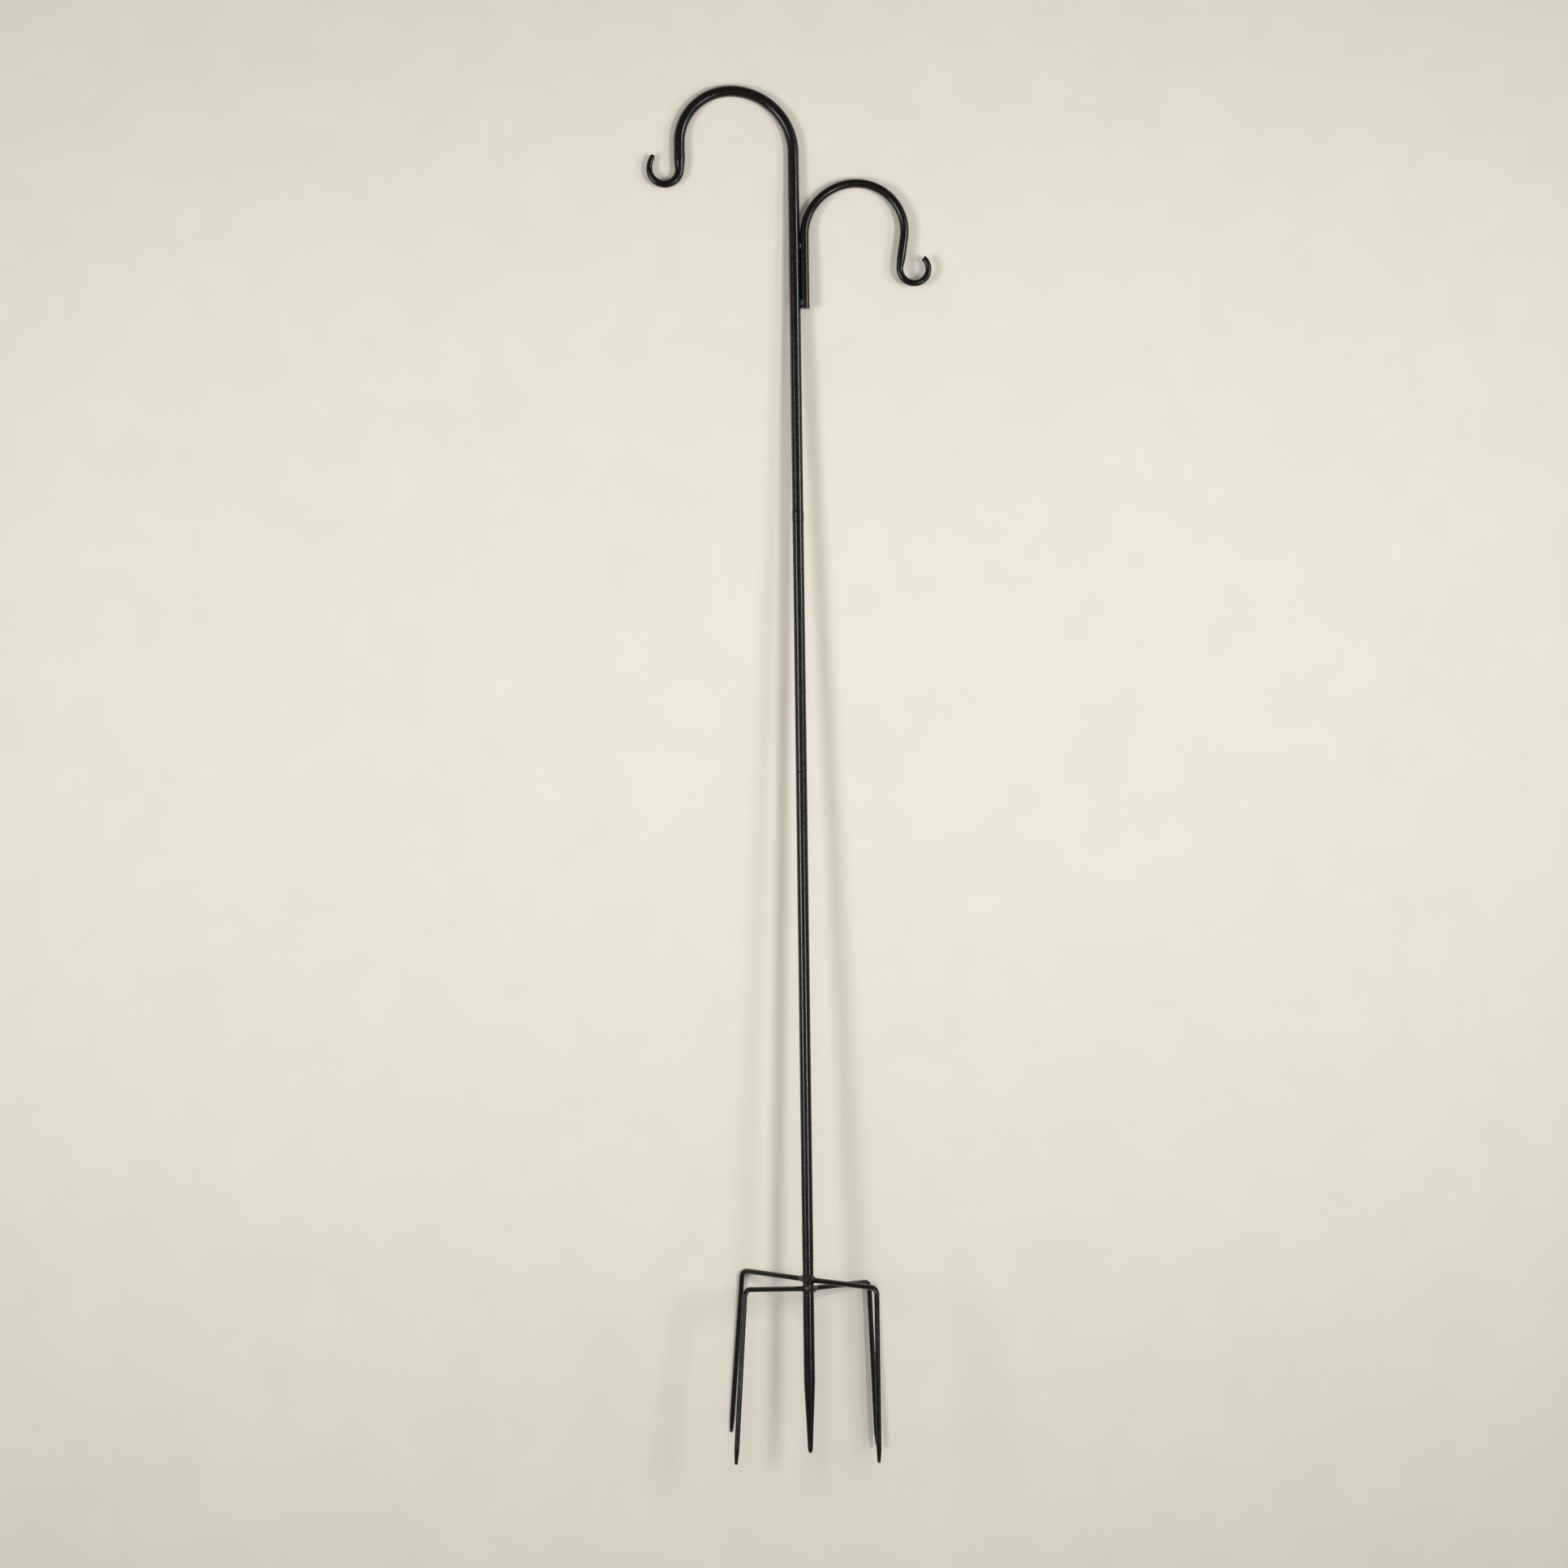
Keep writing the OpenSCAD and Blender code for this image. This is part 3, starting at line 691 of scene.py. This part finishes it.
class STAND_OT_main_crook(StandPiece, bpy.types.Operator):
    """Bends the hook tube and draws its end down to the small hook"""
    bl_idname = "stand.main_crook"
    bl_label = "Main crook"

    def execute(self, context):
        pole, crook = context.scene.stand_pole, context.scene.stand_crook
        tube, collar, tip = pole.tube_d / 2, crook.collar_d / 2, crook.tip_d / 2
        slack = 0.04 * MM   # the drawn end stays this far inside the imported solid's flat-sided skin
        quarter = math.pi / 2
        body = [
            (crook.collar_len, 0, 0.7 * MM), (crook.straight - crook.collar_len, 0, 60 * MM),
            (crook.rise_r * quarter, quarter, 3 * MM), (crook.fall_r * quarter, quarter, 3 * MM),
            (crook.drop, 0, 5 * MM)]
        hook = [
            (crook.neck_run, 0, 1 * MM), (crook.hook_r * math.pi, -math.pi, 1.2 * MM),
            (crook.lip_r * crook.lip_turn - tip, -crook.lip_turn + tip / crook.lip_r, 1.2 * MM),
            (tip, -tip / crook.lip_r, 0.25 * MM)]
        before = sum(length for length, _, _ in body)
        drawn = drawn_radius(sum(length for length, _, _ in hook), 0.0, crook.neck_len,
                             tube, crook.neck_d / 2 - slack, tip - slack, tip)

        def radius_at(gone):
            if gone < crook.collar_len:
                return tube + (collar - tube) * eased((crook.collar_len - gone) / (3 * MM))
            return tube if gone < before else drawn(gone - before)

        bm = bmesh.new()
        place = Matrix.Translation((0, 0, pole.hook_seam))
        first, last, _ = draw_rod(bm, place, body + hook, radius_at)
        cap(bm, last)
        bore(bm, first, place, (collar - pole.wall) / collar, pole.plug + 4 * MM)
        soften(bm, 0.4 * MM, 3)
        finish_piece(bm, "crook_main_tube", "main_crook", finish("black_powder_coat"),
                     lambda at: 0.8 * near(at.z, pole.hook_seam, 1 * MM))
        return {'FINISHED'}


class STAND_OT_side_crook(StandPiece, bpy.types.Operator):
    """Bends the solid rod of the side crook and draws its end down to the side hook"""
    bl_idname = "stand.side_crook"
    bl_label = "Side crook"

    def execute(self, context):
        pole, side = context.scene.stand_pole, context.scene.stand_side
        rod, tip, quarter = side.rod_d / 2, side.tip_d / 2, math.pi / 2
        x = pole.tube_d / 2 + side.gap + rod
        body = [
            (HOLD, 0, HOLD), (side.straight - HOLD, 0, 30 * MM), (side.rise_r * quarter, -quarter, 3 * MM),
            (side.fall_r * quarter, -quarter, 3 * MM)]
        hook_turn = math.pi + side.lean + side.hook_turn
        cut = pole.bevel
        hook = [
            (side.fall_r * side.lean, -side.lean, 1.5 * MM), (side.run, 0, 1.5 * MM),
            (side.hook_r * hook_turn - cut, hook_turn - cut / side.hook_r, 1.2 * MM),
            (cut, cut / side.hook_r, cut / 3)]
        before = sum(length for length, _, _ in body)
        neck = hook[0][0] + side.run - side.neck_len / 2 - side.neck_back
        drawn = drawn_radius(sum(length for length, _, _ in hook), neck, side.neck_len,
                             rod, side.neck_d / 2, tip, cut)
        bm = bmesh.new()
        place = Matrix.Translation((x, 0, pole.hook_seam + side.start))
        first, last, _ = draw_rod(bm, place, body + hook,
                                  lambda gone: rod if gone < before else drawn(gone - before))
        cap(bm, first)
        cap(bm, last)
        soften(bm, 0.5 * MM, 3)
        # A strip of coat that bites into both pole and rod, from just over the cut end to a little past where
        # the rod bends away, so no light comes through: partly the coat bridging the hairline gap, and partly
        # painted shade filling the shaded opening above.
        middle = pole.hook_seam + side.start + side.straight / 2 + 5 * MM
        gap_shade_strip = Matrix.LocRotScale((x - rod - side.gap / 2, 0, middle), None,
                                   (side.gap + 0.3 * MM, 0.5 * MM, side.straight + 8 * MM))
        bmesh.ops.create_cube(bm, size=1.0, matrix=gap_shade_strip)
        finish_piece(bm, "crook_side_rod", "side_crook", finish("black_powder_coat"))
        return {'FINISHED'}


class STAND_OT_side_welds(StandPiece, bpy.types.Operator):
    """Fills the groove between pole and rod with two pairs of short weld beads"""
    bl_idname = "stand.side_welds"
    bl_label = "Side crook welds"

    def execute(self, context):
        pole, side = context.scene.stand_pole, context.scene.stand_side
        contact = pole.tube_d / 2 + side.gap / 2
        low = pole.hook_seam + side.start
        leant = math.radians(-14)       # towards the rod's side, as the torch left them
        # Each pair of beads: its height, length, shift towards the rod, half width, depth, unevenness and
        # seed. The upper was laid in one pass, and the lower is knobbly, from two starts
        for name, height, length, shift, wide, deep, uneven, seed in (
                ("upper", side.weld_high, side.weld_high_len, -0.4 * MM, 2.1 * MM, 2.4 * MM, 0.06, 1),
                ("lower", side.weld_low, side.weld_low_len, 0.5 * MM, 2.8 * MM, 2.8 * MM, 0.12, 5)):
            bm = bmesh.new()
            for more, face in enumerate((-1, 1)):
                place = (Matrix.Translation((contact + shift, face * deep, low + height))
                         @ Matrix.Rotation(face * leant, 4, 'Z'))
                groove_bead(bm, place, (wide, deep, length / 2), uneven, seed + more)
            finish_piece(bm, f"side_bead_{name}", f"side_crook_weld_{name}", finish("weld_coat_and_painted_sheen"))
        return {'FINISHED'}


def screw_thread(pole, low, high, gap):
    """The skin of a right-hand screw thread on the pole's axis, cut off square at two heights.

    All threads share one helix, so that a stud and its insert mesh.
    gap is how far the skin stands outside the nominal thread. Returns the mesh and its end rings.
    """
    crest, root, p = pole.stud_d / 2 + gap, pole.stud_d / 2 - 0.55 * pole.pitch + gap, pole.pitch
    shape = [(root, 0.0), (root, 0.125), (crest, 0.4375), (crest, 0.5625), (root, 0.875), (root, 1.0)]
    steps, turns = 32, math.ceil((high - low) / p) + 2
    start = math.floor(low / p - 1) * p     # a whole number of pitches up, as for every thread here
    bm = bmesh.new()
    points = [bm.verts.new((r, 0.0, start + z * p)) for r, z in shape]
    edges = [bm.edges.new(pair) for pair in zip(points, points[1:])]
    bmesh.ops.spin(bm, geom=points + edges, cent=(0, 0, 0), axis=(0, 0, 1), dvec=(0, 0, p / steps),
                   angle=math.tau * turns, steps=steps * turns, use_merge=False, use_duplicate=False)
    bmesh.ops.remove_doubles(bm, verts=bm.verts, dist=5 * MERGE)
    for height, up in ((high, 1), (low, -1)):
        bmesh.ops.bisect_plane(bm, geom=bm.verts[:] + bm.edges[:] + bm.faces[:], dist=MERGE,
                               plane_co=(0, 0, height), plane_no=(0, 0, up), clear_outer=True)
    rim = [edge for edge in bm.edges if len(edge.link_faces) == 1]
    low_ring, high_ring = [
        [edge for edge in rim if all(abs(v.co.z - height) < 20 * MERGE for v in edge.verts)]
        for height in (low, high)]
    return bm, low_ring, high_ring


class STAND_OT_studs(StandPiece, bpy.types.Operator):
    """Cuts the three threaded studs, each with its plug in the tube below"""
    bl_idname = "stand.studs"
    bl_label = "Threaded studs"

    def execute(self, context):
        pole = context.scene.stand_pole
        plug = pole.tube_d / 2 - pole.wall - ROOM
        point = 1 * MM
        for name, seam in (("ground_stake_stud", pole.stub_top), ("lower_pole_stud", pole.middle_seam),
                           ("upper_pole_stud", pole.hook_seam)):
            top = seam + pole.stud_out
            bm, low_ring, high_ring = screw_thread(pole, seam - 1 * MM, top - point, 0.0)
            # the point that leads it into the insert
            points, edges = pull(bm, high_ring)
            bmesh.ops.translate(bm, vec=(0, 0, point), verts=points)
            widen(bm, points, Matrix.Translation((0, 0, top)), 1 - point / (pole.stud_d / 2))
            cap(bm, edges)
            cap(bm, low_ring)
            shaft = put_by(bm)
            foot, head = seam - pole.plug, seam - 0.1 * MM
            outline = [(0.0, foot), (plug - point, foot), (plug, foot + point), (plug, head), (0.0, head)]
            bm = lathe(outline)
            bm.from_mesh(shaft)
            bpy.data.meshes.remove(shaft)
            finish_piece(bm, f"{name}_screw", name, finish("bright_zinc_plate"), merge=False)
        return {'FINISHED'}


class STAND_OT_inserts(StandPiece, bpy.types.Operator):
    """Taps the three threaded inserts in the sections' lower ends"""
    bl_idname = "stand.inserts"
    bl_label = "Threaded inserts"

    def execute(self, context):
        pole, crook = context.scene.stand_pole, context.scene.stand_crook
        mouth = 0.5 * MM
        tube = pole.tube_d / 2 - pole.wall - ROOM
        swollen = crook.collar_d / 2 - pole.wall - ROOM
        for name, seam, outer in (("lower_pole_insert", pole.stub_top, tube),
                                  ("upper_pole_insert", pole.middle_seam, tube),
                                  ("main_crook_insert", pole.hook_seam, swollen)):
            low, high = seam + 0.02 * MM, seam + pole.plug
            bm, low_ring, high_ring = screw_thread(pole, low + mouth, high, ROOM)
            points, low_ring = pull(bm, low_ring)
            bmesh.ops.translate(bm, vec=(0, 0, -mouth), verts=points)
            for point in points:
                flat = Vector((point.co.x, point.co.y)).normalized() * (pole.stud_d / 2 + mouth)
                point.co.x, point.co.y = flat
            wall = bmesh.ops.create_circle(bm, cap_ends=False, radius=outer, segments=64,
                                           matrix=Matrix.Translation((0, 0, low)))["verts"]
            low_wall = list({edge for point in wall for edge in point.link_edges})
            points, high_wall = pull(bm, low_wall)
            bmesh.ops.translate(bm, vec=(0, 0, high - low), verts=points)
            for inner, out in ((low_ring, low_wall), (high_ring, high_wall)):
                bmesh.ops.triangle_fill(bm, use_beauty=True, use_dissolve=False, edges=inner + out,
                                        normal=(0, 0, 1))
            finish_piece(bm, f"{name}_tapped", name, finish("bright_zinc_plate"), merge=False)
        return {'FINISHED'}


# ---------------------------------------------------------------------------------------------
# Stage


class StandStage(bpy.types.PropertyGroup):
    camera_at: FloatVectorProperty(
        name="Camera", description="Where the camera stands", subtype='TRANSLATION', unit='LENGTH',
        default=(-0.28562, -4.09164, 0.47197), precision=5)
    aim: FloatVectorProperty(
        name="Aim", description="What the camera looks at", subtype='TRANSLATION', unit='LENGTH',
        default=(-0.02117, 0.0, 0.61296), precision=5)
    roll: turn("Roll", "Turn of the camera about its line of sight", -0.758)
    view: turn("Angle of view", "Angle that the picture's width takes in", 25.9302)
    floor_near: size("Floor under the head", "Distance of the floor behind the pole's axis at the head", 7.2)
    floor_lean: turn("Floor's lean", "Lean of the pole over the floor, which the prongs hold up", 3.24)
    floor_meets: size("Floor meets pole", "Height above the soil line where the tube comes down to it", 1419)


# Each soft lamp: its angle round the pole from the front in degrees; how high it hangs, and its own height
# and width, in metres; its watts; and whether it only draws a line of light. The first four light the
# stand and cast its shadows, the broad one filling them, and the last three draw the lines of light that
# run down the tubes
LAMPS = {
    "lamp_left": (-37, 0.55, 1.05, 0.7, 26.0, False),
    "lamp_middle": (20.5, 0.62, 0.8, 0.5, 26.5, False),
    "lamp_right": (40, 0.7, 1.2, 0.6, 11.5, False),
    "lamp_broad": (0, 0.8, 2.4, 2.4, 15.0, False),
    "line_left": (-46, 0.65, 1.5, 0.75, 28.5, True),
    "line_right_low": (30, 0.13, 0.8, 0.42, 16.0, True),
    "line_right_high": (51, 1.45, 1.1, 0.25, 22.0, True),
}


def lay_floor(scene, stage):
    """Lays a sheet that the crooks and the back prongs' tips touch, as when the stand lies on it."""
    aim = Vector(stage.aim)
    lie = Matrix.Translation(aim) @ Matrix.Rotation(math.pi / 2, 4, 'X')
    softly = 80 * MM    # how gently it bends from upright under the head to its lean
    bm = bmesh.new()
    bmesh.ops.create_grid(bm, x_segments=4, y_segments=176, size=2.2, matrix=lie)
    for point in bm.verts:
        drop = (stage.floor_meets - point.co.z) / softly
        point.co.y = stage.floor_near + math.tan(stage.floor_lean) * softly * math.log1p(math.exp(drop))
    for face in bm.faces:
        face.smooth = True
    mesh = bpy.data.meshes.new("floor")
    bm.to_mesh(mesh)
    bm.free()
    mesh.materials.append(pale_floor(aim))
    floor = bpy.data.objects.new("floor", mesh)
    scene.collection.objects.link(floor)


def surround(scene):
    """Sets the floor's own pale colour all round for the eye, and an eighth of it as light.

    The glossy black coat was photographed in a dark room, which it mirrors.
    """
    world = bpy.data.worlds.new("pale_room")
    world.use_nodes = True
    tree = world.node_tree
    tree.nodes.clear()
    path = add(tree, "ShaderNodeLightPath")
    strength = add(tree, "ShaderNodeMapRange", {
        "Value": path.outputs["Is Camera Ray"], "To Min": 0.13, "To Max": 1.0})
    room = add(tree, "ShaderNodeBackground", {
        "Color": scene.stand_finishes.room, "Strength": strength.outputs["Result"]})
    add(tree, "ShaderNodeOutputWorld", {"Surface": room.outputs["Background"]})
    scene.world = world


def hang_lamps(scene):
    """Hangs the soft oval lamps in front, all at one distance and facing the pole."""
    away = 2.6          # metres from the pole
    for name, (angle, height, tall, wide, power, draws_line) in LAMPS.items():
        lamp = bpy.data.lights.new(name, 'AREA')
        lamp.shape = 'ELLIPSE'
        lamp.size, lamp.size_y = wide, tall
        lamp.energy = power
        holder = bpy.data.objects.new(name, lamp)
        scene.collection.objects.link(holder)
        side = math.radians(angle)
        inward = Vector((-math.sin(side), math.cos(side), 0))
        holder.location = (away * math.sin(side), -away * math.cos(side), height)
        holder.rotation_euler = inward.to_track_quat('-Z', 'Y').to_euler()
        holder.visible_camera = False
        holder.visible_glossy = draws_line
        holder.visible_diffuse = not draws_line


def place_camera(scene, stage):
    """Stands the camera where the photograph was taken from, looking where it looked."""
    eye = bpy.data.cameras.new("camera")
    eye.sensor_fit = 'HORIZONTAL'
    eye.sensor_width = 36.0
    eye.lens = eye.sensor_width / 2 / math.tan(stage.view / 2)
    camera = bpy.data.objects.new("camera", eye)
    scene.collection.objects.link(camera)
    spot = Vector(stage.camera_at)
    facing = (Vector(stage.aim) - spot).to_track_quat('-Z', 'Y').to_matrix().to_4x4()
    camera.matrix_world = Matrix.Translation(spot) @ facing @ Matrix.Rotation(stage.roll, 4, 'Z')
    scene.camera = camera


class STAND_OT_stage(StandPiece, bpy.types.Operator):
    """Sets the floor that the stand lies on, the soft lamps, the pale surroundings and the camera"""
    bl_idname = "stand.stage"
    bl_label = "Stage"

    def execute(self, context):
        scene = context.scene
        lay_floor(scene, scene.stand_stage)
        surround(scene)
        hang_lamps(scene)
        place_camera(scene, scene.stand_stage)
        scene.view_settings.view_transform = 'Standard'
        return {'FINISHED'}


class STAND_PT_panel(bpy.types.Panel):
    """Lists the pieces of the stand"""
    bl_label = "Plant stand"
    bl_idname = "STAND_PT_panel"
    bl_space_type = 'VIEW_3D'
    bl_region_type = 'UI'
    bl_category = "Plant stand"

    def draw(self, context):
        for operator in OPERATORS:
            self.layout.operator(operator.bl_idname)
        for group in GROUPS:
            box = self.layout.box()
            for name in getattr(context.scene, group).bl_rna.properties.keys():
                if name not in ("rna_type", "name"):
                    box.prop(getattr(context.scene, group), name)


GROUPS = {
    "stand_pole": StandPoleSizes, "stand_crook": StandCrookSizes, "stand_side": StandSideCrookSizes,
    "stand_base": StandBaseSizes, "stand_finishes": StandFinishes, "stand_stage": StandStage,
}
OPERATORS = (
    STAND_OT_stage, STAND_OT_ground_stake, STAND_OT_prongs, STAND_OT_prong_welds, STAND_OT_pole_sections,
    STAND_OT_main_crook, STAND_OT_side_crook, STAND_OT_side_welds, STAND_OT_studs, STAND_OT_inserts,
)


def register():
    for kind in (*GROUPS.values(), *OPERATORS, STAND_PT_panel):
        bpy.utils.register_class(kind)
    for name, group in GROUPS.items():
        setattr(bpy.types.Scene, name, PointerProperty(type=group))


def unregister():
    for name in GROUPS:
        delattr(bpy.types.Scene, name)
    for kind in reversed((*GROUPS.values(), *OPERATORS, STAND_PT_panel)):
        bpy.utils.unregister_class(kind)


def main():
    """Registers everything and makes every piece in order."""
    register()
    for operator in OPERATORS:
        group, name = operator.bl_idname.split(".")
        getattr(getattr(bpy.ops, group), name)()


if __name__ == "__main__":
    main()
